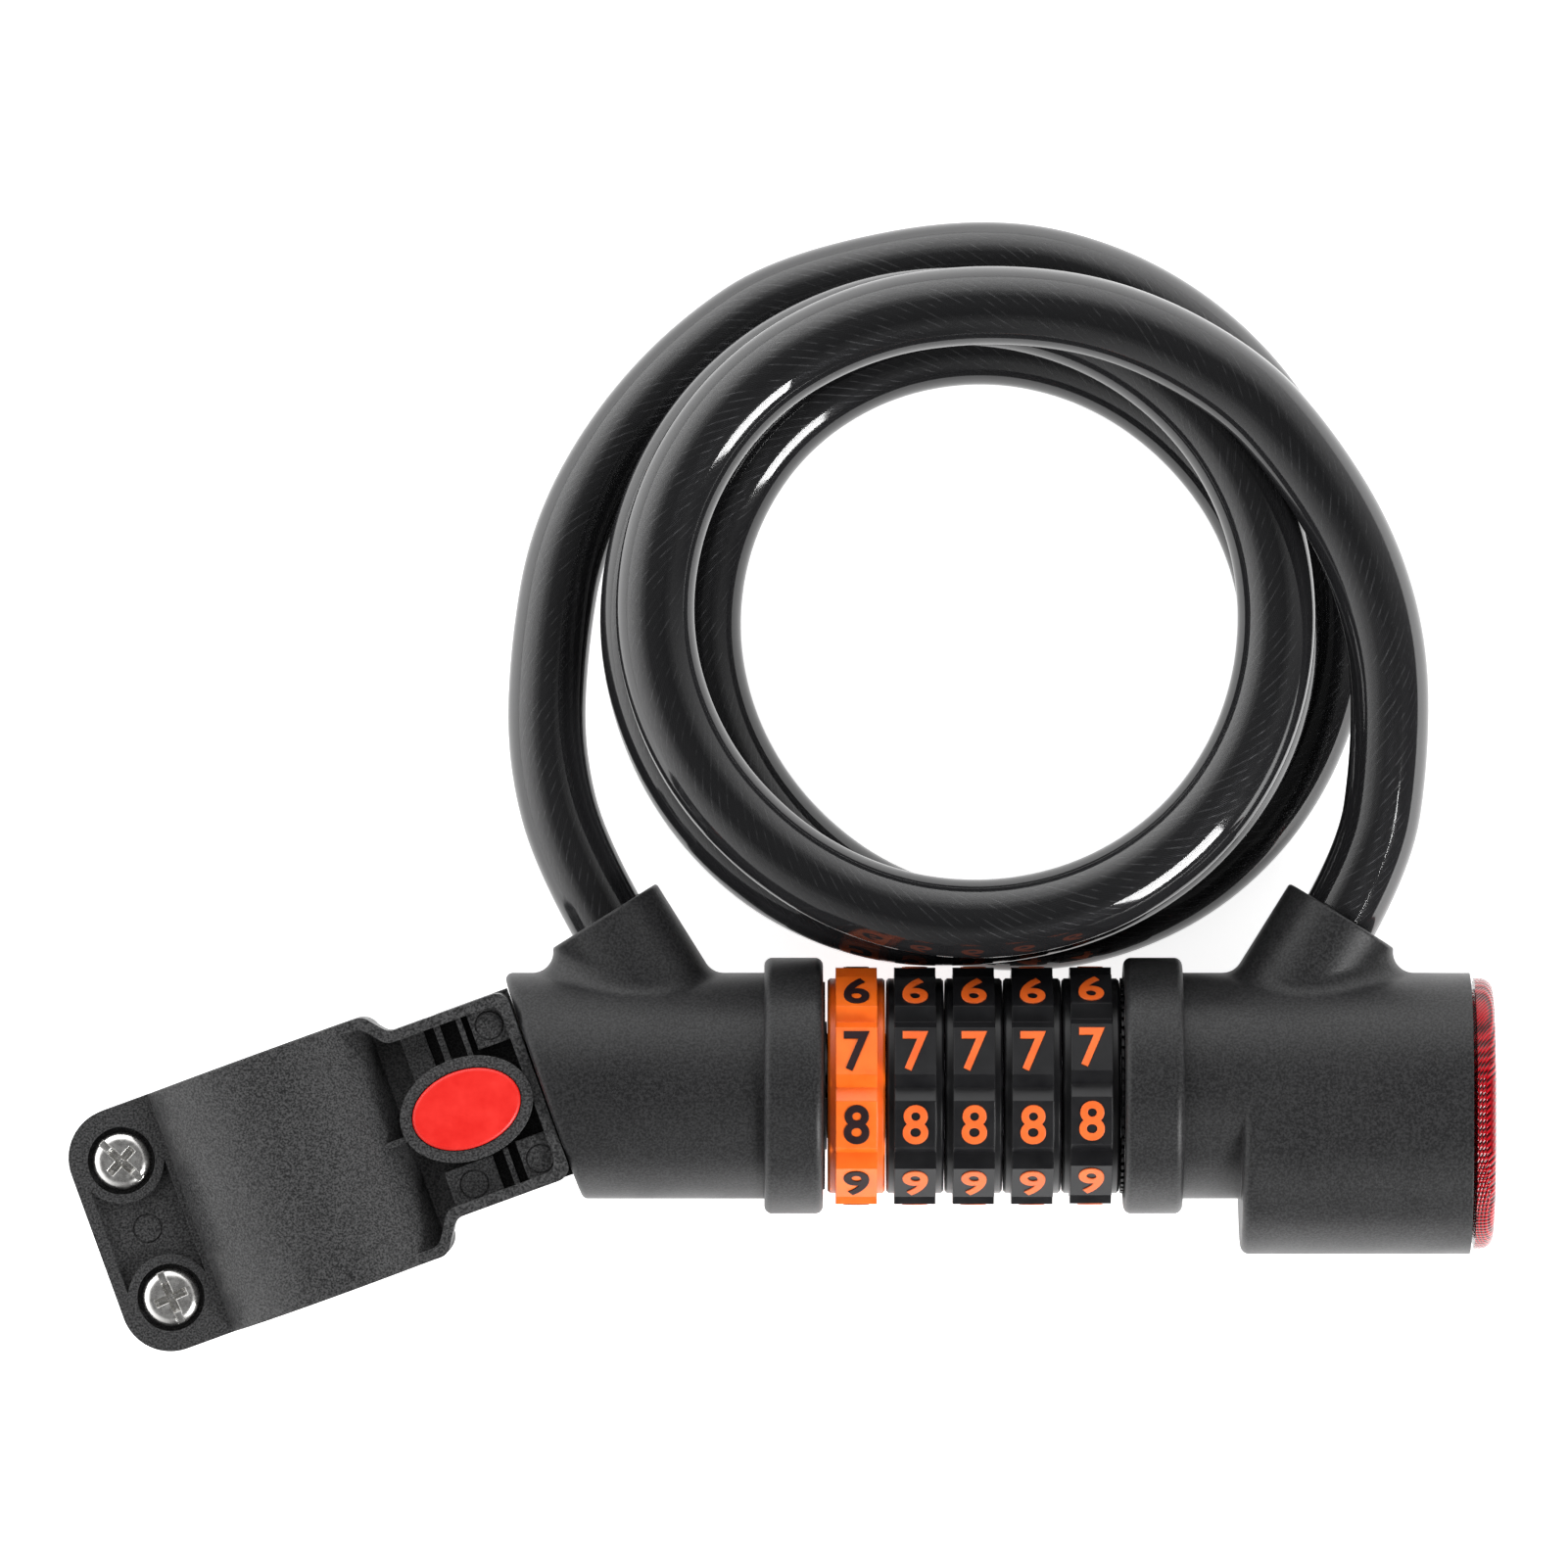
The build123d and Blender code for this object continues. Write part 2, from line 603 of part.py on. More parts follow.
def liner(upper):
    """The rubber strip that grips the seat post."""
    outer = cross_rod(SADDLE_R - SADDLE_WALL, SADDLE_U, 0, -SADDLE_HALF, SADDLE_HALF)
    inner = cross_rod(POST_BORE_R, SADDLE_U, 0, -SADDLE_HALF - 1, SADDLE_HALF + 1)
    return (outer - inner) & half_space(upper, SPLIT + 0.2)


def clamp_screws():
    """Two pan head screws, each with a cross recess and a slot cut through its rim."""
    top = SCREW_SEAT_Z + SCREW_HEAD_HEIGHT
    screws = []
    for (u, w), twist in zip(screw_places(), SCREW_TWISTS):
        head = post(SCREW_HEAD_R, 0, 0, SCREW_SEAT_Z, top)
        head = fillet(head.edges().sort_by(Axis.Z)[-1], 1.5)
        wing = extrude(Pos(0, 0, top + 0.1) * Rectangle(CROSS_LENGTH, CROSS_WIDTH), -2.1, taper=12)
        slot = block(-6, 6, -0.55, 0.55, top - 0.7, top + 1) - post(2.2, 0, 0, 0, 9)
        body = head + post(SCREW_R, 0, 0, -6.0, SCREW_SEAT_Z + 0.1) - wing - Rot(0, 0, 90) * wing - slot
        screws.append(Pos(u, w, 0) * Rot(0, 0, twist) * body)
    return Part() + screws


def clamp_nuts():
    nuts = []
    for u, w in screw_places():
        body = extrude(RegularPolygon(4.0, 6, major_radius=False), 2.8) - post(SCREW_R + 0.4, 0, 0, -1, 4)
        nuts.append(Pos(u, w, -5.2) * body)
    return Part() + nuts


def hinge_pin():
    return cross_rod(HINGE_PIN_R, HINGE_U, HINGE_Z, HEAD_SHIFT - HEAD_HALF, HEAD_SHIFT + HEAD_HALF)


# Cable ---------------------------------------------------------------------


def lead_points(side, route):
    """The whole route of a lead, from its ferrule to the coil."""
    return [boss_point(side, -CABLE_DEPTH), boss_point(side, STRAIGHT_LENGTH)] + route


def lead(name, points):
    """A cable tube along straight runs joined by tangent arcs."""
    radii = []
    for before, here, after in zip(points, points[1:], points[2:]):
        arriving = Vector(here) - Vector(before)
        leaving = Vector(after) - Vector(here)
        shorter = min(arriving.length, leaving.length)
        half_turn = math.radians(arriving.get_angle(leaving) / 2)
        radii.append(0.45 * shorter / math.tan(half_turn))
    path = FilletPolyline(*points, radius=radii)
    section = Plane(origin=path @ 0, z_dir=path % 0) * Circle(CABLE_R)
    tube = sweep(section, path=path)
    ideal = path.length * math.pi * CABLE_R**2
    print(name, "radii", [round(r, 1) for r in radii], "length", round(path.length, 1))
    print(name, "volume over section times length", round(tube.volume / ideal, 4))
    return tube


def round_coil(degrees, radius):
    angle = math.radians(degrees)
    return (COIL_CENTRE[0] + radius * math.cos(angle), COIL_CENTRE[1] + radius * math.sin(angle))


def cut_corners(points):
    """The two outline corners of the coil's flat face that a lead's end meets."""
    before, end = points[-2], points[-1]
    run = Vector(end[0] - before[0], end[1] - before[1]).normalized()
    across = Vector(-run.Y, run.X) * (CABLE_R + CUT_MARGIN)
    middle = Vector(end[0], end[1])
    corners = [middle + across, middle - across]
    centre = Vector(*COIL_CENTRE)
    corners.sort(key=lambda corner: (corner - centre).length)
    return [(corner.X, corner.Y) for corner in corners]


def cable_coil():
    """The outer shape of the coiled cable, from the floor to its top turn."""
    plug_inner, plug_outer = cut_corners(PLUG_LEAD)
    lock_inner, lock_outer = cut_corners(LOCK_LEAD)
    upper = Spline(plug_outer, *[round_coil(*place) for place in COIL_OUTER], lock_outer)
    lower = Spline(lock_inner, *[round_coil(*place) for place in COIL_LOWER], plug_inner)
    outline = make_face([upper, Line(lock_outer, lock_inner), lower, Line(plug_inner, plug_outer)])
    hole = Pos(*COIL_CENTRE) * Circle(COIL_HOLE_R)
    body = Pos(0, 0, -COLLAR_R) * extrude(outline - hole, COIL_TOP + COLLAR_R)
    return body - rod(PAD_FACE_R + DIAL_CLEARANCE, -40, 40)


# Assembly ------------------------------------------------------------------

CORD_NODES = ("cable_lead_plug", "cable_coil", "cable_lead_lock")


def lock_parts():
    parts = {
        "plug_housing": plug_housing(),
        "plug_collar": collar(-1),
        "plug_seal": plug_seal(),
        "pin_anchor": pin_anchor(),
        "plug_ferrule": ferrule(-1),
        "locking_pin": locking_pin(),
        "lock_housing": lock_housing(),
        "lock_collar": collar(1),
        "cable_anchor": cable_anchor(),
        "lock_ferrule": ferrule(1),
        "dial_core": dial_core(),
        "core_nut": core_nut(),
        "click_spring": click_spring(),
        "click_ring": click_ring(),
        "lens": lens(),
        "light_tray": light_tray(),
        "battery_cells": battery_cells(),
        "battery_contact": battery_contact(),
        "led_board": led_board(),
        "leds": leds(),
        "light_switch": light_switch(),
        "cable_lead_plug": lead("cable_lead_plug", lead_points(-1, PLUG_LEAD)),
        "cable_coil": cable_coil(),
        "cable_lead_lock": lead("cable_lead_lock", lead_points(1, LOCK_LEAD)),
    }
    for number in range(1, DIALS + 1):
        parts[f"dial_{number}"] = dial(number)
        parts[f"code_ring_{number}"] = code_ring(number)
    return parts


def bracket_parts():
    parts = {
        "bracket_front": bracket_front(),
        "bracket_back": bracket_back(),
        "front_liner": liner(True),
        "back_liner": liner(False),
        "release_button": release_button(),
        "button_spring": button_spring(),
        "clamp_screws": clamp_screws(),
        "clamp_nuts": clamp_nuts(),
        "hinge_pin": hinge_pin(),
    }
    return {name: bracket_place() * shape for name, shape in parts.items()}


def main():
    os.makedirs("parts", exist_ok=True)
    parts = lock_parts() | bracket_parts()
    boxes = [shape.bounding_box() for name, shape in parts.items() if name not in CORD_NODES]
    middle_x = (min(box.min.X for box in boxes) + max(box.max.X for box in boxes)) / 2
    middle_y = (min(box.min.Y for box in boxes) + max(box.max.Y for box in boxes)) / 2
    place = Pos(-middle_x, -middle_y, COLLAR_R)
    print("dial axis middle at", round(-middle_x, 4), round(-middle_y, 4), COLLAR_R)
    for name, shape in parts.items():
        export_step(place * shape, f"parts/{name}.step")


main()
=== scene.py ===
import math

import bpy
import numpy as np
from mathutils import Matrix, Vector


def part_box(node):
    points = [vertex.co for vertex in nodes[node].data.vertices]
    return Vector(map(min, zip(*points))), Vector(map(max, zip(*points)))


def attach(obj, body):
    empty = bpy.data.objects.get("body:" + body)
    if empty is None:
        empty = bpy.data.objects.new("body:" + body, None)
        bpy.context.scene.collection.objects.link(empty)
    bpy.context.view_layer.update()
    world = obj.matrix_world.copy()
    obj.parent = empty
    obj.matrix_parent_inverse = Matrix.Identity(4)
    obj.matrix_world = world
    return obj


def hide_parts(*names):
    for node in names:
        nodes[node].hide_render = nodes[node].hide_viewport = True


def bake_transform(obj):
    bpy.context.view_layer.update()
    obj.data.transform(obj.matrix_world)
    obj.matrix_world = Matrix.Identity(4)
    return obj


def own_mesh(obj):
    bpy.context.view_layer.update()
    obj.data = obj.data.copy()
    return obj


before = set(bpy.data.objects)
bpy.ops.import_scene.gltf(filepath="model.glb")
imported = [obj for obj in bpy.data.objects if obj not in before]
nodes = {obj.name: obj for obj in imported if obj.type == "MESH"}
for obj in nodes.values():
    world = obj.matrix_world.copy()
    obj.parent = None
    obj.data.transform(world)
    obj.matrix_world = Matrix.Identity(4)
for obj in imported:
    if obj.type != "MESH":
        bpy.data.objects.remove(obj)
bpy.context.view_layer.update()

# The looks of a bicycle cable lock: its cable, button spring, materials and the numbers on its dials.
# Lengths are in millimetres in the lock's own frame, whose origin is the middle of the dials'
# axis, until place() turns them into metres in the row frame.

MM = 0.001
TURN = 2 * math.pi
DIALS = 5
DIGITS = 10
dial_low, dial_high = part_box("dial_3")
AXIS = (dial_low + dial_high) / 2
FLOOR = -AXIS.z / MM


def place(x, y, z):
    """A point of the lock's own frame, in metres in the row frame."""
    return AXIS + Vector((x, y, z)) * MM


def add_object(name, data):
    """A new object in the scene."""
    made = bpy.data.objects.new(name, data)
    bpy.context.scene.collection.objects.link(made)
    return made


def take_mesh(name, curve):
    """Turns a curve or text into a mesh, and removes the curve."""
    guide = bpy.data.objects.new(name, curve)
    mesh = bpy.data.meshes.new_from_object(guide)
    bpy.data.objects.remove(guide)
    bpy.data.curves.remove(curve)
    return mesh


# Camera ------------------------------------------------------------------------

VIEW_MIDDLE = (-28.95, 46.2)
VIEW_WIDTH = 240.15
CAMERA_HEIGHT = 2400.0
SENSOR_WIDTH = 36
VIEW_DEPTH = 10  # metres


def make_camera():
    """Straight above the lock, far away, with the whole object in its square frame."""
    data = bpy.data.cameras.new("camera")
    data.sensor_width = SENSOR_WIDTH
    data.lens = SENSOR_WIDTH * CAMERA_HEIGHT / VIEW_WIDTH
    data.clip_end = VIEW_DEPTH
    camera = add_object("camera", data)
    camera.location = place(*VIEW_MIDDLE, CAMERA_HEIGHT)
    bpy.context.scene.camera = camera


# Swept tubes -------------------------------------------------------------------


def even_line(line, spacing):
    """The distances along a line and its points, evenly spaced."""
    line = np.array(line)
    lengths = np.linalg.norm(np.diff(line, axis=0), axis=1)
    run = np.concatenate([[0], np.cumsum(lengths)])
    stations = np.linspace(0, run[-1], int(run[-1] / spacing) + 1)
    return stations, np.stack([np.interp(stations, run, line[:, axis]) for axis in range(3)], axis=1)


def swept_frames(line):
    """Two directions across the line at each point, carried along without twisting."""
    tangents = np.gradient(line, axis=0)
    tangents /= np.linalg.norm(tangents, axis=1)[:, None]
    first = np.cross(tangents[0], [0, 0, 1])
    sides = []
    side = first / np.linalg.norm(first)
    for tangent in tangents:
        side = side - tangent * side.dot(tangent)
        side = side / np.linalg.norm(side)
        sides.append(side)
    sides = np.array(sides)
    return sides, np.cross(tangents, sides)


def tube_faces(count, around):
    """The faces of a closed tube: its sides row by row, then its two ends."""
    faces = []
    for i in range(count - 1):
        for j in range(around):
            k = (j + 1) % around
            faces.append((i * around + j, (i + 1) * around + j, (i + 1) * around + k, i * around + k))
    faces.append(tuple(range(around)))
    faces.append(tuple(reversed(range((count - 1) * around, count * around))))
    return faces


def tube(name, line, stations, around, radius):
    """A closed tube round the line. radius takes (distance along, angle) arrays, in metres."""
    sides, ups = swept_frames(line)
    angles = np.arange(around) * TURN / around
    sizes = radius(stations[:, None], angles[None, :])
    ring = np.cos(angles)[None, :, None] * sides[:, None, :] + np.sin(angles)[None, :, None] * ups[:, None, :]
    points = line[:, None, :] + ring * sizes[:, :, None]
    mesh = bpy.data.meshes.new(name)
    mesh.from_pydata(points.reshape(-1, 3).tolist(), [], tube_faces(len(line), around))
    layer = mesh.uv_layers.new(name="along")
    for polygon in mesh.polygons[:-2]:
        i, j = divmod(polygon.index, around)
        corners = ((i, j), (i + 1, j), (i + 1, j + 1), (i, j + 1))
        for loop, (row, column) in zip(polygon.loop_indices, corners):
            layer.data[loop].uv = (stations[row] / MM, column / around)
    mesh.polygons.foreach_set("use_smooth", [True] * len(mesh.polygons))
    return add_object(name, mesh)


def plain_radius(size):
    """The outside of a round tube that is the same all the way along."""
    return lambda along, angle: np.full(np.broadcast(along, angle).shape, size * MM)


# Cable -------------------------------------------------------------------------

CABLE_R = 6.0
CORE_R = 4.3
JACKET_SIDES = 40
JACKET_SPACING = 1.6
CORE_SPACING = 1.3
ROUTE_FINENESS = 14
ROUTE_ORDER = 3
STRANDS = 18
STRAND_SIDES = 6
STRAND_LAY = 38.0 * MM  # the length in which a strand goes once round the rope
STRAND_RELIEF = 0.26 * MM
STRAND_ROUNDNESS = 0.6

COIL_CENTRE = (2.4, 69.5)
COIL_STEP = 22.5  # degrees between the coil's control points, sixteen to a turn

# Each lead: (x, y, height above the floor)
PLUG_LEAD = [
    (-52.3, 19.3, 19.6),
    (-61.2, 34.0, 19.4),
    (-65.6, 50.5, 17.2),
    (-65.0, 67.5, 14.5),
    (-62.1, 84.4, 11.8),
    (-53.5, 100.2, 9.2),
    (-41.6, 113.1, 7.3),
    (-27.4, 122.4, 6.4),
]
LOCK_LEAD = [
    (50.2, 96.2, 35.0),
    (58.7, 82.6, 31.5),
    (63.4, 67.6, 27.5),
    (63.8, 51.1, 23.6),
    (61.4, 33.7, 19.8),
    (52.3, 19.3, 19.6),
]
# The coil, clockwise from above: (degrees, radius of the cable's centre line, height)
COIL = [
    (90, 57.6, 6.3),
    (45, 55.3, 6.1),
    (0, 53.0, 6.1),
    (-45, 49.8, 6.1),
    (-90, 45.8, 6.3),
    (-135, 43.4, 7.3),
    (-180, 43.9, 8.7),
    (-225, 44.8, 10.1),
    (-270, 44.0, 11.7),
    (-315, 43.3, 13.6),
    (-360, 44.7, 15.6),
    (-450, 44.5, 18.6),
    (-480, 48.8, 19.6),
    (-510, 51.6, 20.5),
    (-540, 53.6, 21.2),
    (-585, 53.4, 22.6),
    (-630, 49.4, 24.1),
    (-675, 46.3, 26.0),
    (-720, 43.7, 27.9),
    (-765, 43.2, 29.4),
    (-810, 43.7, 30.9),
    (-855, 46.5, 32.3),
    (-900, 51.0, 33.5),
    (-945, 51.8, 34.9),
    (-990, 49.2, 36.2),
    (-1035, 52.5, 36.6),
]


def eased(keys, at):
    """A smooth value between keys, each an (angle, value) pair with falling angles."""
    angles = [key[0] for key in keys]
    values = [key[1] for key in keys]
    last = len(keys) - 1
    span = 0
    while span < last - 1 and angles[span + 1] > at:
        span += 1
    slopes = []
    for corner in (span, span + 1):
        before, after = max(corner - 1, 0), min(corner + 1, last)
        slopes.append((values[after] - values[before]) / (angles[after] - angles[before]))
    width = angles[span + 1] - angles[span]
    t = (at - angles[span]) / width
    start = values[span] * (1 + 2 * t) * (1 - t) ** 2 + slopes[0] * width * t * (1 - t) ** 2
    return start + values[span + 1] * t * t * (3 - 2 * t) + slopes[1] * width * t * t * (t - 1)


def coil_points():
    """Control points a little outside the line, because the spline cuts inside them."""
    radii = [(angle, radius) for angle, radius, height in COIL]
    heights = [(angle, height) for angle, radius, height in COIL]
    outward = 1 / math.cos(math.radians(COIL_STEP / 2))
    steps = int((COIL[0][0] - COIL[-1][0]) / COIL_STEP)
    points = []
    for step in range(steps + 1):
        angle = COIL[0][0] - step * COIL_STEP
        radius = eased(radii, angle) * outward
        turn = math.radians(angle)
        x = COIL_CENTRE[0] + radius * math.cos(turn)
        y = COIL_CENTRE[1] + radius * math.sin(turn)
        points.append((x, y, eased(heights, angle)))
    return points


def spline_line(route):
    """Points along the smooth spline that has the route as its control points."""
    curve = bpy.data.curves.new("cable_route", "CURVE")
    curve.dimensions = "3D"
    curve.resolution_u = ROUTE_FINENESS
    spline = curve.splines.new("NURBS")
    spline.points.add(len(route) - 1)
    for point, (x, y, height) in zip(spline.points, route):
        point.co = (*place(x, y, height + FLOOR), 1)
    spline.order_u = ROUTE_ORDER
    spline.use_endpoint_u = True
    mesh = take_mesh("cable_route", curve)
    line = [vertex.co.copy() for vertex in mesh.vertices]
    bpy.data.meshes.remove(mesh)
    return line


def rope_radius(along, angle):
    """The outside of a rope of twisted strands."""
    twist = STRANDS * (angle - TURN * along / STRAND_LAY) / 2
    return CORE_R * MM - STRAND_RELIEF * (1 - np.abs(np.cos(twist)) ** STRAND_ROUNDNESS)


def make_cable():
    """The jacket and the rope inside it, fixed to the lock at one end and to the plug at the other."""
    route = PLUG_LEAD + coil_points() + LOCK_LEAD
    stations, line = even_line(spline_line(route), JACKET_SPACING * MM)
    jacket = tube("cable_jacket", line, stations, JACKET_SIDES, plain_radius(CABLE_R))
    core_stations, core_line = even_line(line, CORE_SPACING * MM)
    core = tube("cable_core", core_line, core_stations, STRANDS * STRAND_SIDES, rope_radius)
    for piece in (jacket, core):
        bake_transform(piece)
    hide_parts("cable_lead_plug", "cable_coil", "cable_lead_lock")
    jacket.data.materials.append(jacket_material())
    core.data.materials.append(rope_material())


# Button spring -----------------------------------------------------------------

SPRING_R = 1.9
SPRING_WIRE_R = 0.3
SPRING_WIRE_SIDES = 10
SPRING_TURNS = 2.5
SPRING_POINTS = 90


def make_button_spring():
    """The button's return spring, as a coil of fixed length carried by the bracket; the real one shortens as
    the button goes down.
    """
    low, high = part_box("button_spring")
    middle = (low + high) / 2
    wire = SPRING_WIRE_R * MM
    turns = np.linspace(0, SPRING_TURNS * TURN, SPRING_POINTS)
    x = middle.x + SPRING_R * MM * np.cos(turns)
    y = middle.y + SPRING_R * MM * np.sin(turns)
    z = np.linspace(low.z + wire, high.z - wire, SPRING_POINTS)
    line = np.stack([x, y, z], axis=1)
    stations = turns * SPRING_R * MM
    spring = tube("button_coil_spring", line, stations, SPRING_WIRE_SIDES, plain_radius(SPRING_WIRE_R))
    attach(spring, "bracket")
    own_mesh(spring)
    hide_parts("button_spring")
    spring.data.materials.append(machined("spring_steel", STEEL_LOW, STEEL_HIGH, STEEL_ROUGHNESS))


# Building materials ------------------------------------------------------------


class Look:
    """A node material built step by step."""

    def __init__(self, name, **values):
        self.material = bpy.data.materials.new(name)
        self.material.use_nodes = True
        self.tree = self.material.node_tree
        self.shader = self.tree.nodes["Principled BSDF"]
        self.output = self.tree.nodes["Material Output"]
        for key, value in values.items():
            self.shader.inputs[key.replace("_", " ")].default_value = value
        self.bump_end = None

    def node(self, kind, **values):
        """A new node with these sockets or settings."""
        made = self.tree.nodes.new(kind)
        for name, value in values.items():
            if name in made.inputs:
                made.inputs[name].default_value = value
            else:
                setattr(made, name, value)
        return made

    def link(self, start, end):
        self.tree.links.new(start, end)

    def point(self):
        """Object coordinates, in metres in the row frame."""
        return self.node("ShaderNodeTexCoord").outputs["Object"]

    def noise(self, scale, detail=2.0, roughness=0.5):
        """A cloudy value, with scale clouds to the metre."""
        made = self.node("ShaderNodeTexNoise", Scale=scale, Detail=detail, Roughness=roughness)
        self.link(self.point(), made.inputs["Vector"])
        return made.outputs["Fac"]

    def range(self, value, low, high, to_low, to_high):
        """The value taken from one range to another."""
        made = self.node("ShaderNodeMapRange")
        for name, number in zip(RANGE_SOCKETS, (low, high, to_low, to_high)):
            made.inputs[name].default_value = number
        self.link(value, made.inputs["Value"])
        return made.outputs["Result"]

    def math(self, operation, *values):
        """A sum on links and plain numbers."""
        made = self.node("ShaderNodeMath", operation=operation)
        for socket, value in zip(made.inputs, values):
            if isinstance(value, (int, float)):
                socket.default_value = value
            else:
                self.link(value, socket)
        return made.outputs[0]

    def colours(self, value, *stops):
        """A colour ramp through (position, colour) stops."""
        ramp = self.node("ShaderNodeValToRGB")
        elements = ramp.color_ramp.elements
        while len(elements) < len(stops):
            elements.new(0.5)
        for element, (position, colour) in zip(elements, stops):
            element.position = position
            element.color = (*colour, 1)
        self.link(value, ramp.inputs["Fac"])
        return ramp.outputs["Color"]

    def set_colour(self, value, *stops):
        self.link(self.colours(value, *stops), self.shader.inputs["Base Color"])

    def set_roughness(self, value, low, high, to_low, to_high):
        self.link(self.range(value, low, high, to_low, to_high), self.shader.inputs["Roughness"])

    def bump(self, height, distance, strength=1.0):
        """Adds one layer of relief over those before it."""
        made = self.node("ShaderNodeBump", Distance=distance, Strength=strength)
        self.link(height, made.inputs["Height"])
        if self.bump_end is not None:
            self.link(self.bump_end, made.inputs["Normal"])
        self.bump_end = made.outputs["Normal"]
        self.link(self.bump_end, self.shader.inputs["Normal"])

    def rounded(self, radius):
        """Softens the sharp edges that a moulding never has."""
        made = self.node("ShaderNodeBevel", Radius=radius, samples=BEVEL_SAMPLES)
        self.bump_end = made.outputs["Normal"]
        self.link(self.bump_end, self.shader.inputs["Normal"])


RANGE_SOCKETS = ("From Min", "From Max", "To Min", "To Max")
BEVEL_SAMPLES = 4
NOISE_LOW, NOISE_HIGH = 0.3, 0.7  # what most of a noise lies between


def grained(name, low, high, roughness, grain=2700.0, relief=0.00004, edge=0.00035):
    """Moulded plastic with a fine eroded grain that glints."""
    look = Look(name, Specular_IOR_Level=0.3)
    look.rounded(edge)
    fine = look.noise(grain, 3.0, 0.6)
    broad = look.noise(90.0, 2.0)
    look.set_colour(fine, (0.4, low), (0.62, high))
    look.set_roughness(broad, NOISE_LOW, NOISE_HIGH, roughness - 0.05, roughness + 0.05)
    look.bump(fine, relief, 0.8)
    return look.material


def plain_moulding(name, low, high, roughness, **values):
    """Smoother moulded plastic, with faint flow marks."""
    look = Look(name, **values)
    look.rounded(0.00025)
    flow = look.noise(260.0, 4.0, 0.6)
    look.set_colour(flow, (NOISE_LOW, low), (NOISE_HIGH, high))
    look.set_roughness(flow, NOISE_LOW, NOISE_HIGH, roughness - 0.06, roughness + 0.06)
    look.bump(look.noise(2600.0, 2.0), 0.00001, 0.5)
    return look.material


def machined(name, low, high, roughness, scale=900.0, relief=0.000012):
    """Metal with drawn or turned marks and slight staining."""
    look = Look(name, Metallic=1.0)
    look.rounded(0.0002)
    marks = look.noise(scale, 4.0, 0.7)
    look.set_colour(marks, (NOISE_LOW, low), (NOISE_HIGH, high))
    look.set_roughness(marks, NOISE_LOW, NOISE_HIGH, roughness - 0.08, roughness + 0.1)
    look.bump(marks, relief, 0.5)
    return look.material


# The lens's prisms lie in a slanting grid: two crossing waves, each with its own direction
PRISM_PITCH = 1.05
PRISM_DIRECTIONS = ((1, 0, 1), (-1, 1, 0))
# Painted light: the lens's colour is darker between the prisms as painted shade and brighter on them as
# painted glints
LENS_PRISM_SHADE = (0.03, 0.0, 0.001)
LENS_PRISM_GLINT = (0.42, 0.004, 0.01)


def lens_material():
    """Deep red plastic with a grid of small moulded prisms on its inside, with painted shade and painted
    glints of the prisms in its colour.
    """
    look = Look("lens_red", Roughness=0.1, IOR=1.49, Specular_IOR_Level=0.3)
    pitch = TURN / (PRISM_PITCH * MM)
    waves = []
    for direction in PRISM_DIRECTIONS:
        phase = look.node("ShaderNodeVectorMath", operation="DOT_PRODUCT")
        phase.inputs[1].default_value = [pitch * part for part in direction]
        look.link(look.point(), phase.inputs[0])
        waves.append(look.math("SINE", phase.outputs["Value"]))
    prisms = look.math("MULTIPLY", *waves)
    look.set_colour(look.range(prisms, -1, 1, 0, 1), (0.3, LENS_PRISM_SHADE), (0.75, LENS_PRISM_GLINT))
    look.bump(prisms, 0.00012, 0.6)
    return look.material


def jacket_material():
    """Smoke-clear vinyl: seen through where it faces the eye, dark and glossy at its edges."""
    look = Look("cable_smoke", Base_Color=(0.014, 0.014, 0.015, 1), IOR=1.5, Specular_IOR_Level=0.8)
    look.set_roughness(look.noise(120.0, 2.0), NOISE_LOW, NOISE_HIGH, 0.04, 0.12)
    look.bump(look.noise(140.0, 2.0), 0.00006, 0.4)
    clear = look.node("ShaderNodeBsdfTransparent", Color=(0.6, 0.6, 0.61, 1))
    weight = look.node("ShaderNodeLayerWeight", Blend=0.42)
    mix = look.node("ShaderNodeMixShader")
    look.link(look.range(weight.outputs["Facing"], 0.04, 0.3, 0.5, 1.0), mix.inputs["Fac"])
    look.link(clear.outputs[0], mix.inputs[1])
    look.link(look.shader.outputs[0], mix.inputs[2])
    look.link(mix.outputs[0], look.output.inputs["Surface"])
    return look.material


WIRES_PER_STRAND = 5
WIRE_LAY = STRAND_LAY * 1.3
# The rope's colours are painted light: painted shade in the grooves, a middle tone, painted highlights on the
# crests
ROPE_GROOVE_SHADE = (0.08, 0.08, 0.082)
ROPE_MIDDLE = (0.2, 0.2, 0.204)
ROPE_CREST_HIGHLIGHT = (0.9, 0.9, 0.91)


def helical_lines(look, count, lay):
    """Zero along each of count helical lines on a tube, rising to one midway between them."""
    uv = look.node("ShaderNodeUVMap", uv_map="along")
    split = look.node("ShaderNodeSeparateXYZ")
    look.link(uv.outputs[0], split.inputs[0])
    along = look.math("MULTIPLY", split.outputs["X"], -count * MM / lay)
    phase = look.math("MULTIPLY_ADD", split.outputs["Y"], count, along)
    return look.range(look.math("PINGPONG", phase, 0.5), 0, 0.5, 0, 1)


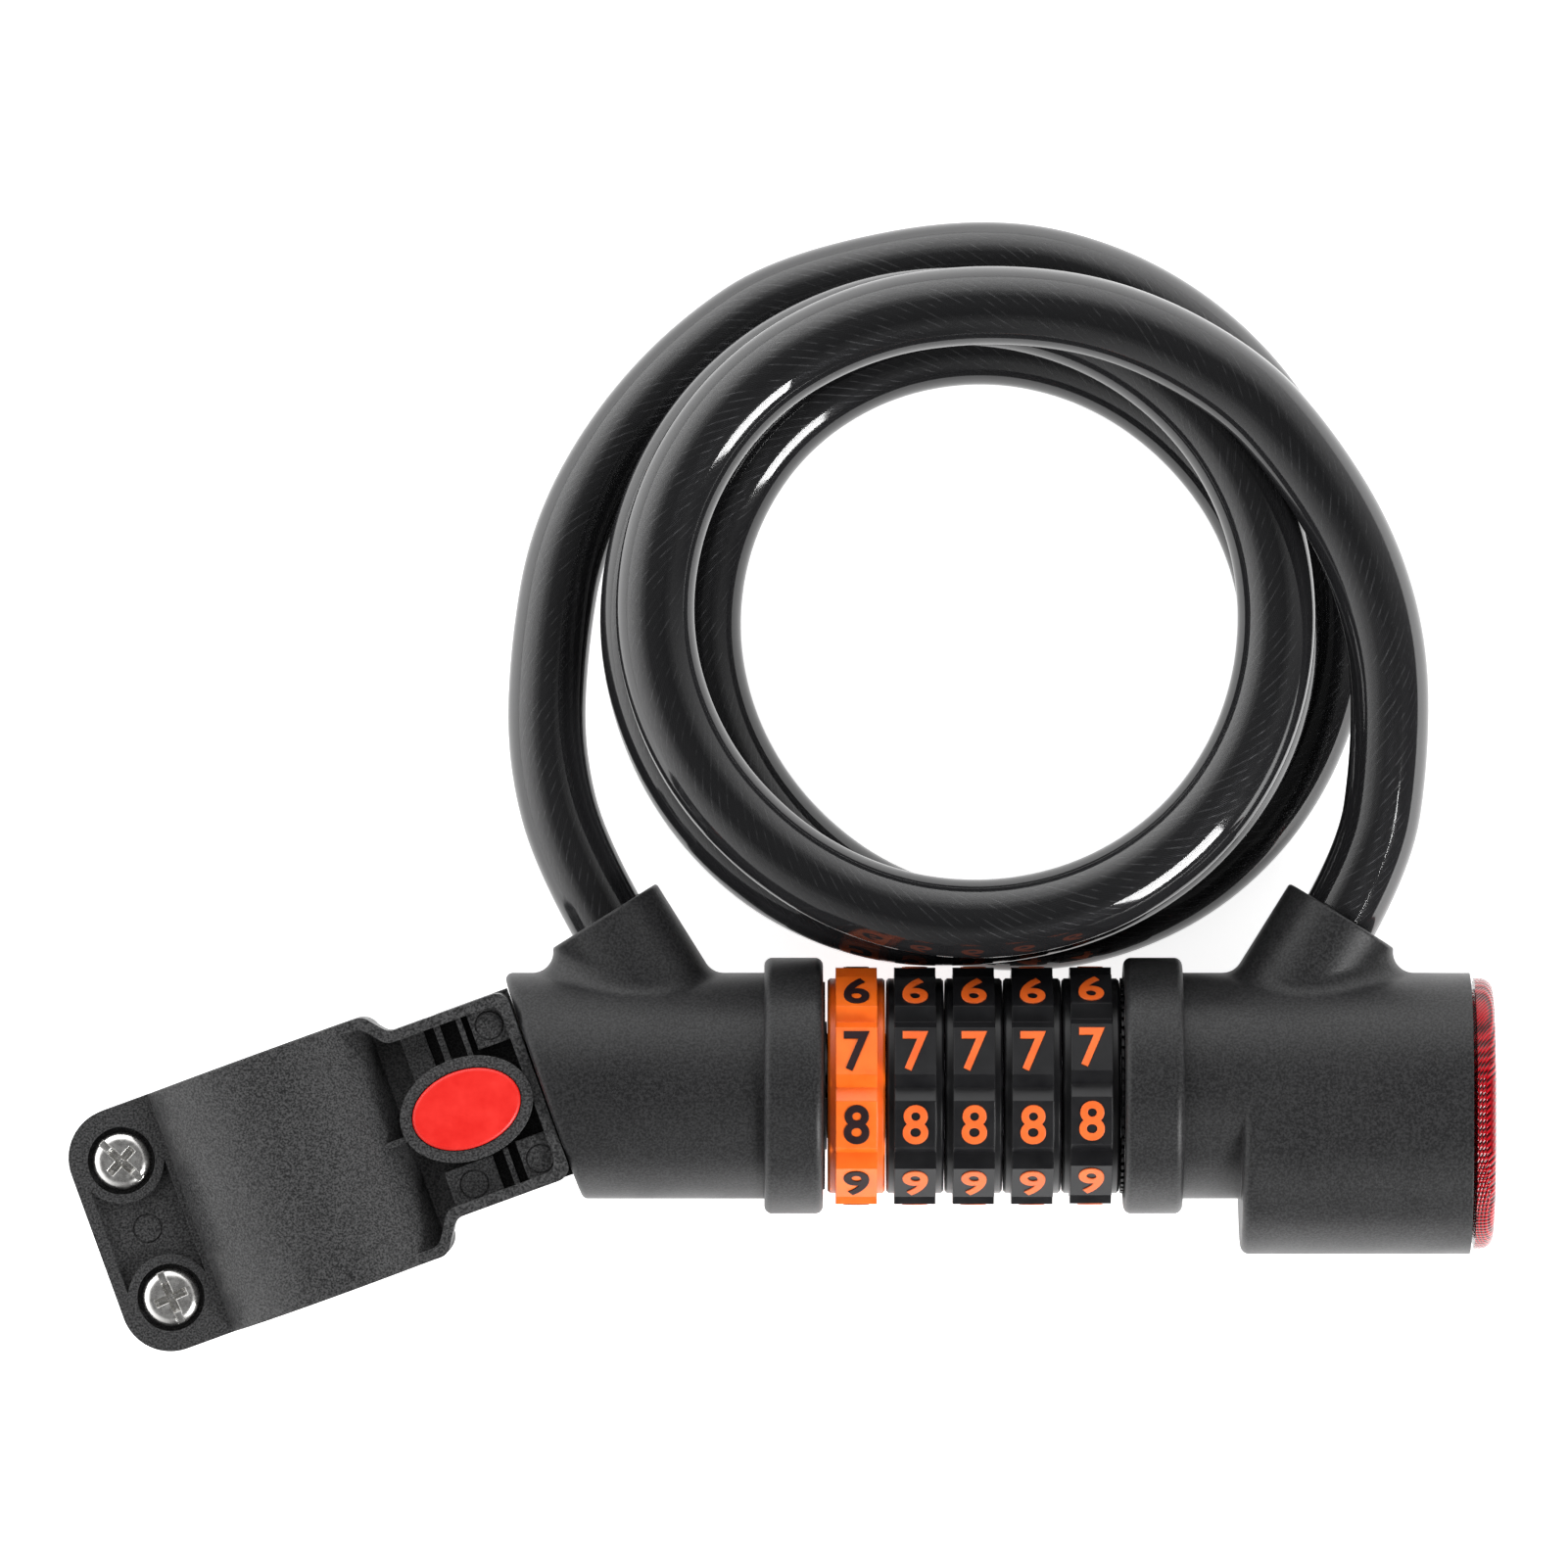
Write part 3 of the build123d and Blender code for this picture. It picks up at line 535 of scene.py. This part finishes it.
def rope_material():
    """Steel rope with painted light: painted highlights along each strand's crest and its fine wires, painted
    shade in the grooves between strands.
    """
    look = Look("cable_rope", Metallic=0.5)
    strands = helical_lines(look, STRANDS, STRAND_LAY)
    wires = helical_lines(look, STRANDS * WIRES_PER_STRAND, WIRE_LAY)
    dust_and_highlight_breaks = look.noise(420.0, 3.0)
    # Painted highlight along each strand's crest, broken into dashes by a noise that also varies the
    # roughness, plus a fainter painted highlight along each wire
    crest_highlight = look.math("MULTIPLY", look.range(strands, 0, 0.32, 1, 0), look.range(dust_and_highlight_breaks, 0.42, 0.62, 0.1, 1))
    painted_light = look.math("MULTIPLY_ADD", look.range(wires, 0.1, 0.7, 1, 0), 0.16, crest_highlight)
    look.set_colour(painted_light, (0.0, ROPE_GROOVE_SHADE), (0.35, ROPE_MIDDLE), (1.0, ROPE_CREST_HIGHLIGHT))
    look.set_roughness(dust_and_highlight_breaks, NOISE_LOW, NOISE_HIGH, 0.34, 0.52)
    look.bump(wires, 0.00008, 0.6)
    return look.material


# Dressing the CAD --------------------------------------------------------------

STEEL_LOW = (0.42, 0.42, 0.44)
STEEL_HIGH = (0.62, 0.62, 0.64)
STEEL_ROUGHNESS = 0.3


def give(material, *names):
    """Puts a material on CAD nodes."""
    for name in names:
        mesh = nodes[name].data
        mesh.materials.clear()
        mesh.materials.append(material)


def dress_plastics():
    """Housings, dials, bracket, rubber and the lamp's parts."""
    charcoal = grained("housing_charcoal", (0.009, 0.009, 0.0095), (0.028, 0.028, 0.029), 0.42)
    bracket = grained(
        "bracket_black", (0.012, 0.012, 0.0125), (0.075, 0.075, 0.076), 0.4, grain=3200.0, edge=0.0002
    )
    orange = plain_moulding("dial_orange", (0.86, 0.125, 0.004), (0.96, 0.165, 0.008), 0.38)
    black = plain_moulding(
        "dial_black", (0.005, 0.005, 0.006), (0.009, 0.009, 0.01), 0.34, Specular_IOR_Level=0.3
    )
    red = plain_moulding("button_red", (0.7, 0.012, 0.008), (0.8, 0.022, 0.014), 0.4)
    rubber = grained("rubber_black", (0.012, 0.012, 0.012), (0.024, 0.024, 0.024), 0.7, grain=3000.0)
    tray = plain_moulding("tray_white", (0.5, 0.5, 0.5), (0.62, 0.62, 0.62), 0.45)
    board = plain_moulding("board_green", (0.01, 0.1, 0.03), (0.02, 0.16, 0.05), 0.35)
    led = plain_moulding("led_clear", (0.8, 0.3, 0.3), (0.95, 0.5, 0.5), 0.15)
    give(charcoal, "plug_housing", "plug_collar", "lock_housing", "lock_collar")
    give(bracket, "bracket_front", "bracket_back")
    give(orange, "dial_1")
    give(black, "click_ring", *[f"dial_{number}" for number in range(2, DIALS + 1)])
    give(red, "release_button")
    give(rubber, "front_liner", "back_liner", "plug_seal")
    give(tray, "light_tray", "light_switch")
    give(board, "led_board")
    give(led, "leds")
    give(lens_material(), "lens")


def dress_metals():
    """Screws, pins, springs and the dials' inner rings."""
    nickel = machined("screw_nickel", (0.76, 0.75, 0.73), (0.9, 0.89, 0.87), 0.27, relief=0.000004)
    steel = machined("steel_turned", STEEL_LOW, STEEL_HIGH, STEEL_ROUGHNESS)
    zinc = machined("zinc_cast", (0.34, 0.34, 0.36), (0.48, 0.48, 0.5), 0.45, scale=400.0)
    give(nickel, "clamp_screws", "clamp_nuts", "battery_cells")
    give(steel, "locking_pin", "plug_ferrule", "lock_ferrule", "hinge_pin")
    give(steel, "click_spring", "battery_contact")
    give(zinc, "pin_anchor", "cable_anchor", "core_nut", "dial_core")
    give(zinc, *[f"code_ring_{number}" for number in range(1, DIALS + 1)])


# Numbers -----------------------------------------------------------------------

NUMBER_HEIGHT = 6.3
NUMBER_WIDTH = 3.9
ONE_WIDTH = NUMBER_WIDTH * 0.62
NUMBER_RELIEF = 0.16
NUMBER_BOLDNESS = 0.022
NUMBER_FINENESS = 6
PAD_FACE_R = 18.05
DIGIT_STEP = 36.0
SEVEN_ANGLE = 18.0
LAST_DIAL_OFFSET = 2.0


def number_outline(digit):
    """A raised number's points and faces, one unit wide, high and deep, centred."""
    curve = bpy.data.curves.new("number", "FONT")
    curve.body = str(digit)
    curve.offset = NUMBER_BOLDNESS
    curve.resolution_u = NUMBER_FINENESS
    curve.extrude = 0.5
    mesh = take_mesh("number", curve)
    points = np.array([vertex.co for vertex in mesh.vertices])
    faces = [tuple(polygon.vertices) for polygon in mesh.polygons]
    bpy.data.meshes.remove(mesh)
    low, high = points.min(axis=0), points.max(axis=0)
    return (points - (low + high) / 2) / (high - low), faces


def make_numbers(dial, outlines, material):
    """The ten raised numbers of one dial, in one piece."""
    name = f"dial_{dial}_numbers"
    low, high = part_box(f"dial_{dial}")
    middle_x = (low.x + high.x) / 2 / MM - AXIS.x / MM
    offset = LAST_DIAL_OFFSET if dial == DIALS else 0.0
    points, faces = [], []
    for digit, (outline, outline_faces) in enumerate(outlines):
        turn = math.radians(SEVEN_ANGLE - DIGIT_STEP * (digit - 7) + offset)
        width = ONE_WIDTH if digit == 1 else NUMBER_WIDTH
        outward = Vector((0, math.sin(turn), math.cos(turn)))
        upward = Vector((0, math.cos(turn), -math.sin(turn)))
        start = len(points)
        for x, y, z in outline:
            lift = PAD_FACE_R + z * NUMBER_RELIEF * 2
            spot = Vector((middle_x + x * width, 0, 0)) + upward * (y * NUMBER_HEIGHT) + outward * lift
            points.append(tuple(place(*spot)))
        faces += [tuple(start + corner for corner in face) for face in outline_faces]
    mesh = bpy.data.meshes.new(name)
    mesh.from_pydata(points, [], faces)
    mesh.materials.append(material)
    made = add_object(name, mesh)
    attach(made, f"dial_{dial}")


def make_all_numbers():
    """Black numbers on the first dial, orange ones on the others."""
    ink = plain_moulding(
        "number_black", (0.012, 0.004, 0.006), (0.02, 0.008, 0.01), 0.5, Specular_IOR_Level=0.2
    )
    paint = plain_moulding("number_orange", (0.74, 0.105, 0.008), (0.84, 0.14, 0.014), 0.42)
    outlines = [number_outline(digit) for digit in range(DIGITS)]
    make_numbers(1, outlines, ink)
    for dial in range(2, DIALS + 1):
        make_numbers(dial, outlines, paint)


# Studio ------------------------------------------------------------------------

FLOOR_SIZE = 3.0  # metres from the middle to each side
FLOOR_DEPTH = -0.0004
FLOOR_COLOUR = (0.93, 0.93, 0.93, 1)
FLOOR_GLOW = 0.85
# How bright the studio is by the sine of the angle above the horizon: dim straight overhead
SKY = [(0.0, 1.0), (0.34, 1.0), (0.64, 0.8), (0.82, 0.35), (0.91, 0.1)]
SKY_STRENGTH = 3.2
# The studio is brighter towards one side: a direction, where the brightness starts to rise
# against it, as a share of its length, and the brightness there and along it
SIDE = (-0.66, 0.75, 0.0)
SIDE_START = -0.8
SIDE_RANGE = (0.02, 1.0)
# One low light, in the lock's frame: where it stands, what it faces, its size in metres, its power
LOW_BOX_AT = (450, -406, 370)
LOW_BOX_FACES = (0, 30, 0)
LOW_BOX_SIZE = (0.25, 0.32)
LOW_BOX_POWER = 5.9


def make_floor():
    """A lit white table top, just under the cable's lowest turn."""
    mesh = bpy.data.meshes.new("floor")
    corners = [(-1, -1), (1, -1), (1, 1), (-1, 1)]
    mesh.from_pydata([(x * FLOOR_SIZE, y * FLOOR_SIZE, FLOOR_DEPTH) for x, y in corners], [], [(0, 1, 2, 3)])
    floor = add_object("floor", mesh)
    look = Look("floor_white", Roughness=0.9, Base_Color=FLOOR_COLOUR)
    look.shader.inputs["Emission Color"].default_value = (1, 1, 1, 1)
    look.shader.inputs["Emission Strength"].default_value = FLOOR_GLOW
    mesh.materials.append(look.material)


def make_low_box():
    """A small soft light that draws the white streaks on the cable."""
    data = bpy.data.lights.new("low_box", "AREA")
    data.shape = "RECTANGLE"
    data.size, data.size_y = LOW_BOX_SIZE
    data.energy = LOW_BOX_POWER
    light = add_object("low_box", data)
    light.location = place(*LOW_BOX_AT)
    aim = place(*LOW_BOX_FACES) - light.location
    light.rotation_mode = "QUATERNION"
    light.rotation_quaternion = aim.to_track_quat("-Z", "Y")


def make_sky():
    """A soft light from all round, by height above the horizon and by direction."""
    world = bpy.data.worlds.new("studio")
    world.use_nodes = True
    tree = world.node_tree
    background = tree.nodes["Background"]
    coordinates = tree.nodes.new("ShaderNodeTexCoord")
    split = tree.nodes.new("ShaderNodeSeparateXYZ")
    ramp = tree.nodes.new("ShaderNodeValToRGB")
    ramp.color_ramp.interpolation = "EASE"
    elements = ramp.color_ramp.elements
    while len(elements) < len(SKY):
        elements.new(0.5)
    for element, (height, brightness) in zip(elements, SKY):
        element.position = height
        element.color = (brightness, brightness, brightness, 1)
    towards = tree.nodes.new("ShaderNodeVectorMath")
    towards.operation = "DOT_PRODUCT"
    towards.inputs[1].default_value = SIDE
    strength = tree.nodes.new("ShaderNodeMapRange")
    reach = math.hypot(*SIDE)
    dark, bright = [share * SKY_STRENGTH for share in SIDE_RANGE]
    for name, number in zip(RANGE_SOCKETS, (SIDE_START * reach, reach, dark, bright)):
        strength.inputs[name].default_value = number
    tree.links.new(coordinates.outputs["Generated"], split.inputs[0])
    tree.links.new(coordinates.outputs["Generated"], towards.inputs[0])
    tree.links.new(split.outputs["Z"], ramp.inputs["Fac"])
    tree.links.new(ramp.outputs["Color"], background.inputs["Color"])
    tree.links.new(towards.outputs["Value"], strength.inputs["Value"])
    tree.links.new(strength.outputs["Result"], background.inputs["Strength"])
    bpy.context.scene.world = world


make_camera()
make_cable()
make_button_spring()
dress_plastics()
dress_metals()
make_all_numbers()
make_floor()
make_sky()
make_low_box()
bpy.context.scene.view_settings.view_transform = "Standard"
